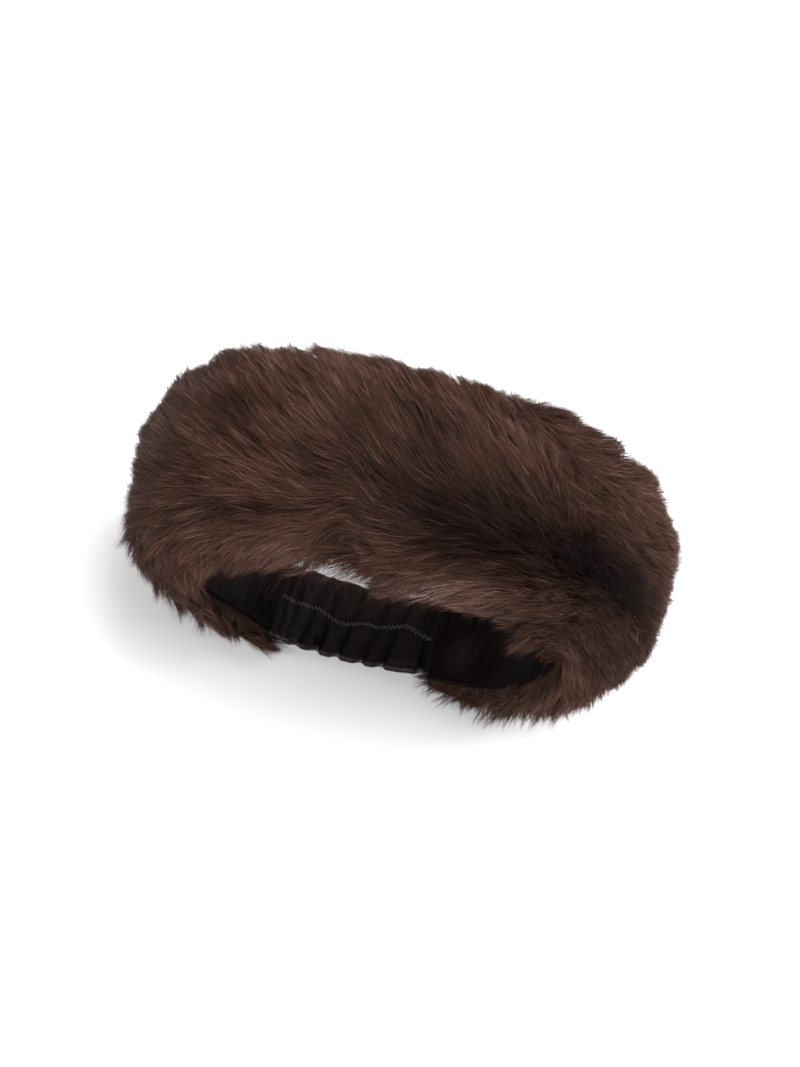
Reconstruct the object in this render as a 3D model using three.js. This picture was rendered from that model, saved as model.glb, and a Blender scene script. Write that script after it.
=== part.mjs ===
// Shearling headband: a long-haired pelt with a thin satin lining, closed at the back by a
// gathered elastic casing. Millimetres, +Z up. It lies on its back on the surface z = 0: the
// front panel is on top, and the band's own axis, where the head goes in, runs along Y.
import * as THREE from "three";

// ---- Driving sizes ----

// Inner face of the loop, a rounded oval in X and Z, turned a little to its left as it lies.
const LOOP = { halfWidth: 86.5, halfDepth: 67, squareness: 2.25, lift: 3.6, lean: 5.5 };
const CENTRE = { x: -1.7, y: -0.8 }; // puts the middle of the whole box over the origin
const GAP = 0.3; // between neighbouring pieces
const LINING_WALL = 1.2;
const SKIN_OUT = LINING_WALL + GAP; // from the loop to the leather's flesh side

// One row for each section round the band, from its left end over the front panel to its right
// end. angle: degrees round the loop, 90 at the middle of the front panel and 180 on the left.
// skinNear, skinFar: the leather's edges, towards -Y and +Y. furNear, furFar: how far the fur
// reaches past the band's middle. pile: thickness of the fur over the leather.
const SECTIONS = [
  { angle: 228, skinNear: 20, skinFar: 23, furNear: 28, furFar: 30, pile: 12 },
  { angle: 212, skinNear: 19, skinFar: 26, furNear: 32, furFar: 41, pile: 24 },
  { angle: 190, skinNear: 27, skinFar: 32, furNear: 35, furFar: 53, pile: 34 },
  { angle: 160, skinNear: 37, skinFar: 38, furNear: 50, furFar: 63, pile: 43.5 },
  { angle: 125, skinNear: 41, skinFar: 42, furNear: 56, furFar: 57, pile: 40 },
  { angle: 90, skinNear: 42, skinFar: 43, furNear: 60, furFar: 51, pile: 40 },
  { angle: 50, skinNear: 41, skinFar: 42, furNear: 57, furFar: 50, pile: 43.5 },
  { angle: 15, skinNear: 38, skinFar: 37, furNear: 51, furFar: 50, pile: 48.5 },
  { angle: -15, skinNear: 33, skinFar: 32, furNear: 47, furFar: 46, pile: 32.5 },
  { angle: -45, skinNear: 29, skinFar: 27, furNear: 38, furFar: 39, pile: 24 },
  { angle: -66, skinNear: 24, skinFar: 23, furNear: 29, furFar: 31, pile: 12 },
];
const LEFT_END = SECTIONS[0].angle;
const RIGHT_END = SECTIONS[SECTIONS.length - 1].angle;

// How the hair lies, by the place across the fur (-1 near edge, 1 far edge). parting: the angle
// where it is brushed apart. left, right: the nap on each side of the parting, in degrees on the
// fur's surface: 0 runs to the right end, 90 to the far edge, 180 to the left end.
const NAP = [
  { across: -1.0, parting: 20, left: 215, right: 0 },
  { across: -0.6, parting: 28, left: 190, right: 8 },
  { across: -0.3, parting: 33, left: 166, right: 20 },
  { across: 0.0, parting: 42, left: 138, right: 27 },
  { across: 0.4, parting: 66, left: 137, right: 45 },
  { across: 1.0, parting: 80, left: 125, right: 55 },
];
const PARTING_WIDTH = 8; // degrees to each side over which one nap turns into the other

// Rows of locks round the band: their place across the fur, how many there are, and the size
// and height of each.
const LOCK_ROWS = [
  { across: -0.78, locks: 23, length: 44, width: 23, height: 4.5 },
  { across: -0.4, locks: 20, length: 56, width: 26, height: 5 },
  { across: 0.0, locks: 19, length: 60, width: 27, height: 5 },
  { across: 0.4, locks: 20, length: 56, width: 26, height: 5 },
  { across: 0.78, locks: 23, length: 44, width: 23, height: 4.5 },
];
// A lock's shape: the share of its length behind its middle, the shares at which it is highest
// and starts to thin, and how fast it narrows. sizes and places vary this far between locks.
const LOCK = { behind: 0.4, highest: 0.7, thins: 0.75, narrowing: 2.6, sizes: 0.3, places: 0.08 };
// The pointed tufts along the fur's two edges: how many, how far they reach on, the share of
// that below the edge, the shortest tuft's share, and how far a tip is drawn along the nap.
const TUFTS = { count: 29, reach: 5, below: 0.4, shortest: 0.45, draw: 4, wander: 0.3 };
const THIN_PLACE = { angle: 106, halfWidth: 7, depth: 8 }; // where the near fringe is shorter

// The gathered casing: its edges, the middle of its wall, half its thickness in a crease and in
// a puff, how far its hems are drawn in, and the width of each fold from left to right.
const CASING = { near: 22.3, far: 22, middle: 1.4, creaseHalf: 0.9, puffHalf: 2.9, scallop: 1.3 };
const PUFF = { roundness: 0.45, narrowest: 0.75, fullWidth: 10 }; // a fold's own roundness
const FOLD_WIDTHS = [4, 5, 9.5, 9, 12, 14, 11, 12, 5, 4];
// How full a fold is at each place across the casing: pinched at the hems and at the seam.
const FOLD_FULLNESS = [
  { across: -1, full: 0 },
  { across: -0.86, full: 0.75 },
  { across: -0.45, full: 1 },
  { across: 0, full: 0.55 },
  { across: 0.45, full: 1 },
  { across: 0.86, full: 0.75 },
  { across: 1, full: 0 },
];

// ---- Small tools ----

const radians = THREE.MathUtils.degToRad;
const { clamp, smoothstep, lerp } = THREE.MathUtils;

// The value of a named column at a place between rows, on a smooth curve through them.
function column(rows, key, name, place) {
  const slope = (i) => {
    const before = rows[Math.max(i - 1, 0)];
    const after = rows[Math.min(i + 1, rows.length - 1)];
    return (after[name] - before[name]) / (after[key] - before[key]);
  };
  const direction = Math.sign(rows[1][key] - rows[0][key]);
  let i = 0;
  while (i < rows.length - 2 && direction * (place - rows[i + 1][key]) > 0) i++;
  const span = rows[i + 1][key] - rows[i][key];
  const u = clamp((place - rows[i][key]) / span, 0, 1);
  const value = lerp(rows[i][name], rows[i + 1][name], u * u * (3 - 2 * u));
  return value + span * u * (1 - u) * ((1 - u) * slope(i) - u * slope(i + 1));
}

// A repeatable number from 0 to 1 for each whole number.
const scatter = (n) => THREE.MathUtils.euclideanModulo(Math.sin(n * 12.9898) * 43758.5453, 1);

// A point of the band: angle round the loop, y along its axis, outward from its inner face.
// Nothing goes below the surface that the band lies on.
function bandPoint(angle, y, outward) {
  const { halfWidth: a, halfDepth: b, squareness: n } = LOOP;
  const [c, s] = [Math.cos(radians(angle)), Math.sin(radians(angle))];
  const reach = (Math.abs(c / a) ** n + Math.abs(s / b) ** n) ** (-1 / n);
  const oval = new THREE.Vector2(reach * c, reach * s);
  const normal = new THREE.Vector2(
    Math.sign(oval.x) * Math.abs(oval.x / a) ** (n - 1) * b,
    Math.sign(oval.y) * Math.abs(oval.y / b) ** (n - 1) * a,
  ).normalize();
  oval.addScaledVector(normal, outward).rotateAround(new THREE.Vector2(), radians(LOOP.lean));
  return new THREE.Vector3(oval.x + CENTRE.x, y + CENTRE.y, Math.max(oval.y + b + LOOP.lift, 0));
}

// A closed body through rings of points, each with as many points as the next. The rings run
// from the left end to the right end, and each goes out along +Y and back.
function sweptGeometry(rings) {
  const count = rings[0].length;
  const positions = rings.flat().flatMap((p) => p.toArray());
  const faces = [];
  for (let i = 0; i + 1 < rings.length; i++)
    for (let j = 0; j < count; j++) {
      const [a, b] = [i * count + j, i * count + ((j + 1) % count)];
      faces.push(a, b + count, b, a, a + count, b + count);
    }
  for (const end of [0, rings.length - 1]) {
    const middle = new THREE.Vector3();
    rings[end].forEach((p) => middle.addScaledVector(p, 1 / count));
    const hub = positions.push(...middle.toArray()) / 3 - 1;
    for (let j = 0; j < count; j++) {
      const [a, b] = [end * count + j, end * count + ((j + 1) % count)];
      faces.push(...(end === 0 ? [hub, a, b] : [hub, b, a]));
    }
  }
  const geometry = new THREE.BufferGeometry();
  geometry.setAttribute("position", new THREE.Float32BufferAttribute(positions, 3));
  geometry.setIndex(faces);
  geometry.computeVertexNormals();
  return geometry;
}

function namedMesh(name, geometry, material) {
  const mesh = new THREE.Mesh(geometry, material);
  mesh.name = name;
  return mesh;
}

// Angles from the band's left end to its right end, in even steps no wider than the one given.
function stations(step) {
  const steps = Math.ceil((LEFT_END - RIGHT_END) / step);
  return Array.from({ length: steps + 1 }, (_, i) => lerp(LEFT_END, RIGHT_END, i / steps));
}

// ---- The pelt: a mass of fur whose surface is its locks, laid along the nap ----

const PELT_STEP = 2.4; // degrees between sections
const PELT_STEPS_ACROSS = 24;
const FUR_FULLNESS = 2.7; // the section's squareness: 2 is a plain half round
const FRINGE_LIFT = 2.5; // how far the fur's edges stand off the leather
const LOCK_SINK = 1.9; // the locks stand in the mass this deep, so that they keep its outline
const FULL_PILE = 25; // in shorter fur than this the locks are lower
const EDGE_FROM = 0.72; // the place across the fur where its edge's tufts begin
const MM_PER_DEGREE = 1.85; // along the fur's surface
const MM_PER_ACROSS = 86;

function napAt(angle, across) {
  const [parting, left, right] = ["parting", "left", "right"].map((name) =>
    column(NAP, "across", name, across),
  );
  return lerp(right, left, smoothstep(angle - parting, -PARTING_WIDTH, PARTING_WIDTH));
}

const locks = LOCK_ROWS.flatMap((row, r) =>
  Array.from({ length: row.locks }, (_, i) => {
    const wobble = scatter(100 * r + i) - 0.5;
    const size = 1 + LOCK.sizes * (scatter(100 * r + i + 50) - 0.5);
    const angle = lerp(LEFT_END, RIGHT_END, (i + 0.5 * (r % 2) + 0.25 + 0.5 * wobble) / row.locks);
    const across = row.across + LOCK.places * wobble;
    return { ...row, angle, across, size, nap: radians(napAt(angle, across)) };
  }),
);

// The height of the locks at a place on the fur: each rises from its root to a pointed tip.
function lockHeight(angle, across) {
  const heights = locks.map((lock) => {
    const along = (lock.angle - angle) * MM_PER_DEGREE;
    const aside = (across - lock.across) * MM_PER_ACROSS;
    const run = along * Math.cos(lock.nap) + aside * Math.sin(lock.nap);
    const off = aside * Math.cos(lock.nap) - along * Math.sin(lock.nap);
    const share = run / (lock.length * lock.size) + LOCK.behind;
    if (share <= 0 || share >= 1) return 0;
    const half = (lock.width / 2) * lock.size * Math.min(1, LOCK.narrowing * (1 - share));
    const rise = smoothstep(share, 0, LOCK.highest) * (1 - smoothstep(share, LOCK.thins, 1));
    return lock.height * rise * Math.max(0, 1 - (off / half) ** 2);
  });
  return Math.max(...heights);
}

// How far out a tuft stands, from 0 between tufts to 1 at a long one's tip, at an angle on the
// near edge (side -1) or the far edge (side 1).
function tuftHeight(angle, side) {
  const place = ((LEFT_END - angle) / (LEFT_END - RIGHT_END)) * TUFTS.count;
  const shifted = place + TUFTS.wander * Math.sin(2.3 * place + 2 * side);
  const tuft = Math.floor(shifted);
  const longest = lerp(TUFTS.shortest, 1, scatter(tuft + 500 * side));
  return longest * (1 - Math.abs(2 * (shifted - tuft) - 1));
}

function furPoint(angle, across) {
  const section = (name) => column(SECTIONS, "angle", name, angle);
  const turn = radians(90 * across);
  const side = Math.sign(across);
  const width = side * Math.abs(Math.sin(turn)) ** (2 / FUR_FULLNESS);
  const height = Math.abs(Math.cos(turn)) ** (2 / FUR_FULLNESS);
  const edge = smoothstep(Math.abs(across), EDGE_FROM, 1);
  const tuft = edge * (tuftHeight(angle, side) - TUFTS.below);
  const depth = Math.min(1, section("pile") / FULL_PILE);
  const relief = (lockHeight(angle, across) - LOCK_SINK) * depth;
  const thin = side < 0 ? Math.exp(-(((angle - THIN_PLACE.angle) / THIN_PLACE.halfWidth) ** 2)) : 0;
  const full = section(side < 0 ? "furNear" : "furFar") - THIN_PLACE.depth * thin;
  const reach = full + TUFTS.reach * tuft + (1 - edge) * relief;
  const outward = FRINGE_LIFT + height * (section("pile") - FRINGE_LIFT + relief);
  const drawn = (TUFTS.draw * tuft * Math.cos(radians(napAt(angle, across)))) / MM_PER_DEGREE;
  const place = clamp(angle - drawn, RIGHT_END, LEFT_END);
  return bandPoint(place, width * reach, SKIN_OUT + outward);
}

function shearlingBand() {
  const rings = stations(PELT_STEP).map((angle) => {
    const skin = (name) => column(SECTIONS, "angle", name, angle);
    const outside = Array.from({ length: PELT_STEPS_ACROSS + 1 }, (_, j) =>
      furPoint(angle, (2 * j) / PELT_STEPS_ACROSS - 1),
    );
    return [
      ...outside,
      bandPoint(angle, skin("skinFar"), SKIN_OUT),
      bandPoint(angle, -skin("skinNear"), SKIN_OUT),
    ];
  });
  const fur = new THREE.MeshStandardMaterial({ color: "#3c2823", roughness: 0.95 });
  return namedMesh("shearling_band", sweptGeometry(rings), fur);
}

// ---- The lining: a thin sheet inside the leather, its edges rolled to a bead ----

const LINING_STEP = 4.8; // degrees between sections
const ROLLED_EDGE = 1.6; // width of the rolled edge
const ROLLED_PROUD = 0.5; // how far it stands into the hollow

function lining() {
  const rings = stations(LINING_STEP).map((angle) => {
    const near = -column(SECTIONS, "angle", "skinNear", angle);
    const far = column(SECTIONS, "angle", "skinFar", angle);
    return [
      [near, LINING_WALL],
      [far, LINING_WALL],
      [far + ROLLED_PROUD, LINING_WALL / 2],
      [far - ROLLED_EDGE / 2, -ROLLED_PROUD],
      [far - ROLLED_EDGE, 0],
      [near + ROLLED_EDGE, 0],
      [near + ROLLED_EDGE / 2, -ROLLED_PROUD],
      [near - ROLLED_PROUD, LINING_WALL / 2],
    ].map(([y, outward]) => bandPoint(angle, y, outward));
  });
  const satin = new THREE.MeshStandardMaterial({ color: "#2a1f21", roughness: 0.5 });
  return namedMesh("lining", sweptGeometry(rings), satin);
}

// ---- The elastic casing: gathered into folds, with scalloped hems ----

const STEPS_PER_FOLD = 6;
const CASING_END_GAP = 0.4; // degrees left open at each end of the band

function elasticBack() {
  const from = LEFT_END + CASING_END_GAP;
  const to = RIGHT_END + 360 - CASING_END_GAP;
  const total = FOLD_WIDTHS.reduce((sum, width) => sum + width, 0);
  const ringAt = (angle, puff) => {
    const face = (side) =>
      FOLD_FULLNESS.map(({ across, full }) => {
        const half = (across < 0 ? CASING.near : CASING.far) - CASING.scallop * (1 - puff);
        const swell = lerp(CASING.creaseHalf, CASING.puffHalf, puff * full);
        return bandPoint(angle, across * half, CASING.middle + side * swell);
      });
    return [...face(-1), ...face(1).reverse()];
  };
  const rings = [];
  let start = 0;
  for (const width of FOLD_WIDTHS) {
    for (let k = 0; k < STEPS_PER_FOLD; k++) {
      const share = k / STEPS_PER_FOLD;
      const fullest = lerp(PUFF.narrowest, 1, Math.min(width / PUFF.fullWidth, 1));
      const puff = Math.sin(Math.PI * share) ** PUFF.roundness * fullest;
      rings.push(ringAt(lerp(from, to, (start + share * width) / total), puff));
    }
    start += width;
  }
  rings.push(ringAt(to, 0));
  const elastic = new THREE.MeshStandardMaterial({ color: "#141211", roughness: 0.4 });
  return namedMesh("elastic_back", sweptGeometry(rings), elastic);
}

const headband = new THREE.Group();
headband.add(shearlingBand(), lining(), elasticBack());

export default headband;
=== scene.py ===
# A shearling headband: a long-haired pelt round the front and sides of the head, lined with
# satin and closed at the back by a gathered casing with an elastic inside. It lies on its back,
# front panel up. Lengths are in millimetres until a mesh is made; Blender's own are metres.
import math

import bmesh
import bpy
import numpy as np
from mathutils import Matrix, Vector


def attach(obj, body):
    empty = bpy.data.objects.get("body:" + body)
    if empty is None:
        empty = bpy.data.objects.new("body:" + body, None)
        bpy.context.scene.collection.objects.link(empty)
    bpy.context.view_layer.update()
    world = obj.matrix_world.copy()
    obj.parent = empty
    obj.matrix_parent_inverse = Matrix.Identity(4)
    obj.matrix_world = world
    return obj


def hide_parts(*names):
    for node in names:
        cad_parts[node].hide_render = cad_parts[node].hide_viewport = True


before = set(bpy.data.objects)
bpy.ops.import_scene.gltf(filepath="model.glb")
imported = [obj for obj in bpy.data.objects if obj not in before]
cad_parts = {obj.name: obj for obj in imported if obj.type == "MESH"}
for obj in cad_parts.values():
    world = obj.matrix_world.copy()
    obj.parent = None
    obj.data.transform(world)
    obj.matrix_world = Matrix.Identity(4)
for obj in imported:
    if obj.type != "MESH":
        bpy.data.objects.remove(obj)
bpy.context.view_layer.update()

# ---- Camera ----
# It looks down on the near rim of the band, from the side that the head goes in, and rolls a
# little, so that the front panel falls away to the right.
VIEW_DIRECTION = Vector((0.059, 0.530, -0.846)).normalized()
VIEW_UP = Vector((-0.2476, 0.8288, 0.5019))
VIEW_CENTRE = Vector((-1.5, -2.8, 97.2))
VIEW_DISTANCE = 1300
VIEW_WIDTH = 376  # of the whole view, at the band
SENSOR = 36

camera_data = bpy.data.cameras.new("camera")
camera_data.sensor_fit = "HORIZONTAL"
camera_data.sensor_width = SENSOR
camera_data.lens = SENSOR * VIEW_DISTANCE / VIEW_WIDTH
camera_data.clip_end = 20
camera = bpy.data.objects.new("camera", camera_data)
bpy.context.scene.collection.objects.link(camera)
back = -VIEW_DIRECTION
right = VIEW_UP.cross(back).normalized()
up = back.cross(right)
place = (VIEW_CENTRE + back * VIEW_DISTANCE) / 1000
camera.matrix_world = Matrix(
    (
        (right.x, up.x, back.x, place.x),
        (right.y, up.y, back.y, place.y),
        (right.z, up.z, back.z, place.z),
        (0, 0, 0, 1),
    )
)
bpy.context.scene.camera = camera

# ---- The pelt's undercoat ----
# Sheepskin, tanned and dyed dark brown, in one long piece with its flesh side to the lining.
# Close to the leather the wool stands too thick to see through: this is that dense underwool,
# with the leather under it, and it is what shows in the dark between the locks.
LOOP = dict(half_width=86.5, half_depth=67, squareness=2.25, lift=3.6, lean=5.5)
CENTRE = (-1.7, -0.8)  # of the loop, from left to right and along its axis
LINING_WALL = 1.2
SKIN_OUT = LINING_WALL + 0.3  # where the leather begins, outward from the loop

# The sections round the band, from its left end over the front panel to its right end: the
# angle round the loop, how far the leather and the fur reach from the middle to the near and
# the far edge, and the pile's depth.
SECTIONS = {
    "angle": (228, 212, 190, 160, 125, 90, 50, 15, -15, -45, -66),
    "skin_near": (20, 19, 27, 37, 41, 42, 41, 38, 33, 29, 24),
    "skin_far": (23, 26, 32, 38, 42, 43, 42, 37, 32, 27, 23),
    "fur_near": (28, 32, 35, 50, 56, 60, 57, 51, 47, 38, 29),
    "fur_far": (30, 41, 53, 63, 57, 51, 50, 50, 46, 39, 31),
    "pile": (12, 24, 34, 43.5, 40, 40, 43.5, 48.5, 32.5, 24, 12),
}
LEFT_END, RIGHT_END = SECTIONS["angle"][0], SECTIONS["angle"][-1]
FULLNESS = 2.7  # the section's squareness
FRINGE_LIFT = 2.5  # of the fur's edges off the leather
FRINGE_FROM = 0.72  # of the way across the fur, where its edges' tufts begin
LEAST_PILE = 0.35  # of the pile's depth, that stays under any sink

# How the hair lies, by its place across the fur: where it parts, and the nap on each side in
# degrees on the fur's surface: 0 runs to the right end, 90 to the far edge.
NAP = {
    "across": (-1.0, -0.6, -0.3, 0.0, 0.4, 1.0),
    "parting": (20, 28, 33, 42, 66, 80),
    "left": (215, 190, 166, 138, 137, 125),
    "right": (0, 8, 20, 27, 45, 55),
}
PARTING_WIDTH = 8
PARTING_MIX = 13  # degrees each side of the parting where hairs of both naps grow together

# Rows of locks: their place across the fur, how many, and each one's length, width and height.
LOCK_ROWS = (
    (-0.78, 23, 44, 23, 3),
    (-0.4, 20, 56, 26, 3.5),
    (0.0, 19, 60, 27, 3.5),
    (0.4, 20, 56, 26, 3.5),
    (0.78, 23, 44, 23, 3),
)
LOCK = dict(behind=0.4, highest=0.7, thins=0.75, narrowing=2.6, sizes=0.3, places=0.08)
LOCK.update(sink=1.2, full_pile=25)  # over a pile less deep than that, the locks are lower
MM_PER_DEGREE, MM_PER_ACROSS = 1.85, 86
TUFTS = dict(count=29, reach=2.8, below=0.4, shortest=0.45, wander=0.3)
# In the near fringe the hair is thinner over a short stretch.
THIN_PLACE = dict(angle=106, half_width=7, depth=8, at_edge=6, shorter=0.75, fringe_shorter=0.72)


def column(table, key, name, at):
    """The table's named column at each place, on a smooth curve through its rows."""
    order = np.argsort(table[key])
    xs = np.array(table[key], float)[order]
    ys = np.array(table[name], float)[order]
    slope = np.empty_like(ys)
    slope[1:-1] = (ys[2:] - ys[:-2]) / (xs[2:] - xs[:-2])
    slope[0] = (ys[1] - ys[0]) / (xs[1] - xs[0])
    slope[-1] = (ys[-1] - ys[-2]) / (xs[-1] - xs[-2])
    i = np.clip(np.searchsorted(xs, at) - 1, 0, len(xs) - 2)
    span = xs[i + 1] - xs[i]
    u = np.clip((at - xs[i]) / span, 0, 1)
    straight = ys[i] + (ys[i + 1] - ys[i]) * u * u * (3 - 2 * u)
    return straight + span * u * (1 - u) * ((1 - u) * slope[i] - u * slope[i + 1])


def section(name, angle):
    """One of the sections' columns, at angles round the band."""
    return column(SECTIONS, "angle", name, angle)


def smooth(x, low, high):
    """From 0 at low to 1 at high, level at both."""
    u = np.clip((x - low) / (high - low), 0, 1)
    return u * u * (3 - 2 * u)


def bell(x, at, half_width, power=2):
    return np.exp(-(((x - at) / half_width) ** power))


def scatter(n):
    """A number from 0 to 1 for each whole number, the same every time."""
    return (np.sin(n * 12.9898) * 43758.5453) % 1


def eased(x, power):
    """Each value to a power, its sign kept: it spaces places closer together or wider."""
    return np.sign(x) * np.abs(x) ** power


def unit(vectors):
    return vectors / np.maximum(np.linalg.norm(vectors, axis=-1, keepdims=True), 1e-9)


def band_point(angle, y, outward):
    """Points of the band: angle round the loop, y along its axis, outward from its inner face."""
    angle, y, outward = np.broadcast_arrays(*(np.asarray(v, float) for v in (angle, y, outward)))
    a, b, n = LOOP["half_width"], LOOP["half_depth"], LOOP["squareness"]
    c, s = np.cos(np.radians(angle)), np.sin(np.radians(angle))
    reach = (np.abs(c / a) ** n + np.abs(s / b) ** n) ** (-1 / n)
    x, z = reach * c, reach * s
    nx, nz = eased(x / a, n - 1) * b, eased(z / b, n - 1) * a
    size = np.hypot(nx, nz)
    x, z = x + nx / size * outward, z + nz / size * outward
    lean = math.radians(LOOP["lean"])
    turned = (
        x * math.cos(lean) - z * math.sin(lean) + CENTRE[0],
        y + CENTRE[1],
        np.maximum(x * math.sin(lean) + z * math.cos(lean) + b + LOOP["lift"], 0),
    )
    return np.stack(turned, -1)


def nap_at(angle, across):
    """The way the hair lies, as the nap's angle on the fur's surface."""
    across = np.clip(across, -1, 1)
    parting, left, right = (column(NAP, "across", k, across) for k in ("parting", "left", "right"))
    share = smooth(angle - parting, -PARTING_WIDTH, PARTING_WIDTH)
    return np.radians(right + (left - right) * share)


def lock_height(angle, across):
    """How high the locks stand at each place: each rises from its root to a pointed tip."""
    highest = np.zeros(np.broadcast(angle, across).shape)
    for r, (row_across, locks, length, width, tallest) in enumerate(LOCK_ROWS):
        for i in range(locks):
            wobble = scatter(100 * r + i) - 0.5
            size = 1 + LOCK["sizes"] * (scatter(100 * r + i + 50) - 0.5)
            share = (i + 0.5 * (r % 2) + 0.25 + 0.5 * wobble) / locks
            middle = LEFT_END + (RIGHT_END - LEFT_END) * share
            at = row_across + LOCK["places"] * wobble
            nap = float(nap_at(middle, at))
            along = (middle - angle) * MM_PER_DEGREE
            aside = (across - at) * MM_PER_ACROSS
            run = (along * math.cos(nap) + aside * math.sin(nap)) / (length * size) + LOCK["behind"]
            off = aside * math.cos(nap) - along * math.sin(nap)
            half = width / 2 * size * np.clip(LOCK["narrowing"] * (1 - run), 1e-6, 1)
            rise = smooth(run, 0, LOCK["highest"]) * (1 - smooth(run, LOCK["thins"], 1))
            height = tallest * rise * np.maximum(0, 1 - (off / half) ** 2)
            highest = np.maximum(highest, np.where((run > 0) & (run < 1), height, 0))
    return highest


def thinned(angle, power=2):
    """How much of the thin place in the near fringe there is at an angle."""
    return bell(angle, THIN_PLACE["angle"], THIN_PLACE["half_width"], power)


def tuft_height(angle, side):
    """How far the tufts at the fur's edge reach at each place, each rising to a point."""
    at = (LEFT_END - angle) / (LEFT_END - RIGHT_END) * TUFTS["count"]
    at = at + TUFTS["wander"] * np.sin(2.3 * at + 2 * side)
    tuft = np.floor(at)
    longest = TUFTS["shortest"] + (1 - TUFTS["shortest"]) * scatter(tuft + 500 * side)
    return longest * (1 - np.abs(2 * (at - tuft) - 1))


def fur_section(angle, across, sink, edge_share, relief):
    """Points of the fur's outer form, or of one that lies inside it: sink is how much less deep
    it is, and edge_share how far it goes from the leather's edge to the fur's."""
    turn = np.radians(90 * across)
    width, height = eased(np.sin(turn), 2 / FULLNESS), np.abs(np.cos(turn)) ** (2 / FULLNESS)
    near = across < 0
    skin = np.where(near, section("skin_near", angle), section("skin_far", angle))
    fur = np.where(near, section("fur_near", angle), section("fur_far", angle))
    pile = section("pile", angle)
    edge = smooth(np.abs(across), FRINGE_FROM, 1)
    tuft = np.where(near, tuft_height(angle, -1), tuft_height(angle, 1)) - TUFTS["below"]
    locks = (relief - LOCK["sink"]) * np.minimum(1, pile / LOCK["full_pile"])
    reach = skin + (fur - skin) * edge_share + TUFTS["reach"] * edge * tuft * edge_share
    reach = reach + (1 - edge) * locks
    thin = THIN_PLACE["depth"] + THIN_PLACE["at_edge"] * smooth(-across, 0.6, 1)
    reach = reach - np.where(near, thinned(angle) * thin, 0)
    depth = np.maximum(pile - sink, pile * LEAST_PILE)
    outward = FRINGE_LIFT + height * (depth - FRINGE_LIFT + locks)
    return band_point(angle, width * reach, SKIN_OUT + outward)


# The fur's form is worked out once, on a grid of places round the band and across it, evenly
# spaced along each section.
GRID_ROUND, GRID_ACROSS, FINE_ACROSS = 420, 170, 601
HOLLOW_HEIGHT = 70  # of the middle of the band's hollow over the floor
NORMAL_BLURS = 12
grid_angle = np.linspace(LEFT_END, RIGHT_END, GRID_ROUND)[:, None]
fine_across = np.linspace(-1, 1, FINE_ACROSS)[None, :]
fine_relief = lock_height(grid_angle, fine_across)
fine = fur_section(grid_angle, fine_across, 0, 1, fine_relief)
run = np.linalg.norm(np.diff(fine, axis=1), axis=2).cumsum(1)
run = np.concatenate([np.zeros((GRID_ROUND, 1)), run], 1)
even = np.linspace(0, 1, GRID_ACROSS)
grid_across = np.stack([np.interp(even * r[-1], r, fine_across[0]) for r in run])
grid_relief = lock_height(grid_angle, grid_across)
fur_form = fur_section(grid_angle, grid_across, 0, 1, grid_relief)


def angle_at(i):
    """The angle round the band of a place on the grid."""
    return LEFT_END + (RIGHT_END - LEFT_END) * i / (GRID_ROUND - 1)


def outward_normals(points):
    """The normals of a grid of points round the band, facing away from the hollow."""
    normal = unit(np.cross(np.gradient(points, axis=1), np.gradient(points, axis=0)))
    hollow = np.zeros_like(points)
    hollow[..., 1], hollow[..., 2] = points[..., 1], HOLLOW_HEIGHT
    return normal * np.sign(np.median(((points - hollow) * normal).sum(2)))


def blurred(values, times):
    """A grid of vectors, each evened out with its four neighbours, as many times."""
    for _ in range(times):
        padded = np.pad(values, ((1, 1), (1, 1), (0, 0)), mode="edge")
        values = (
            4 * values + padded[2:, 1:-1] + padded[:-2, 1:-1] + padded[1:-1, 2:] + padded[1:-1, :-2]
        ) / 8
    return values


fur_normal = unit(blurred(outward_normals(fur_form), NORMAL_BLURS))


def mesh_object(name, points, corners, sizes):
    """A new piece from points in millimetres, its faces' corners one after another, and how
    many of them each face has."""
    mesh = bpy.data.meshes.new(name)
    mesh.vertices.add(len(points))
    mesh.vertices.foreach_set("co", (points / 1000).astype(np.float32).ravel())
    mesh.loops.add(corners.size)
    mesh.loops.foreach_set("vertex_index", corners.astype(np.int32).ravel())
    mesh.polygons.add(len(sizes))
    mesh.polygons.foreach_set("loop_start", (np.cumsum(sizes) - sizes).astype(np.int32))
    mesh.polygons.foreach_set("use_smooth", np.ones(len(sizes), bool))
    mesh.update(calc_edges=True)
    piece = bpy.data.objects.new(name, mesh)
    bpy.context.scene.collection.objects.link(piece)
    return piece


def swept(name, rings):
    """A closed piece through rings of points, its ends closed by a fan."""
    count, around = rings.shape[:2]
    i, j = np.meshgrid(np.arange(count - 1), np.arange(around), indexing="ij")
    a, b = i * around + j, i * around + (j + 1) % around
    quads = np.stack([a, a + around, b + around, b], -1)
    piece = mesh_object(name, rings.reshape(-1, 3).astype(np.float32), quads, np.full(a.size, 4))
    work = bmesh.new()
    work.from_mesh(piece.data)
    placed = list(work.verts)
    for points, ring in ((rings[0], placed[:around]), (rings[-1], placed[-around:])):
        hub = work.verts.new(Vector(points.mean(0) / 1000))
        for k in range(around):
            work.faces.new([hub, ring[k], ring[(k + 1) % around]]).smooth = True
    bmesh.ops.recalc_face_normals(work, faces=work.faces)
    work.to_mesh(piece.data)
    work.free()
    return piece


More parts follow.
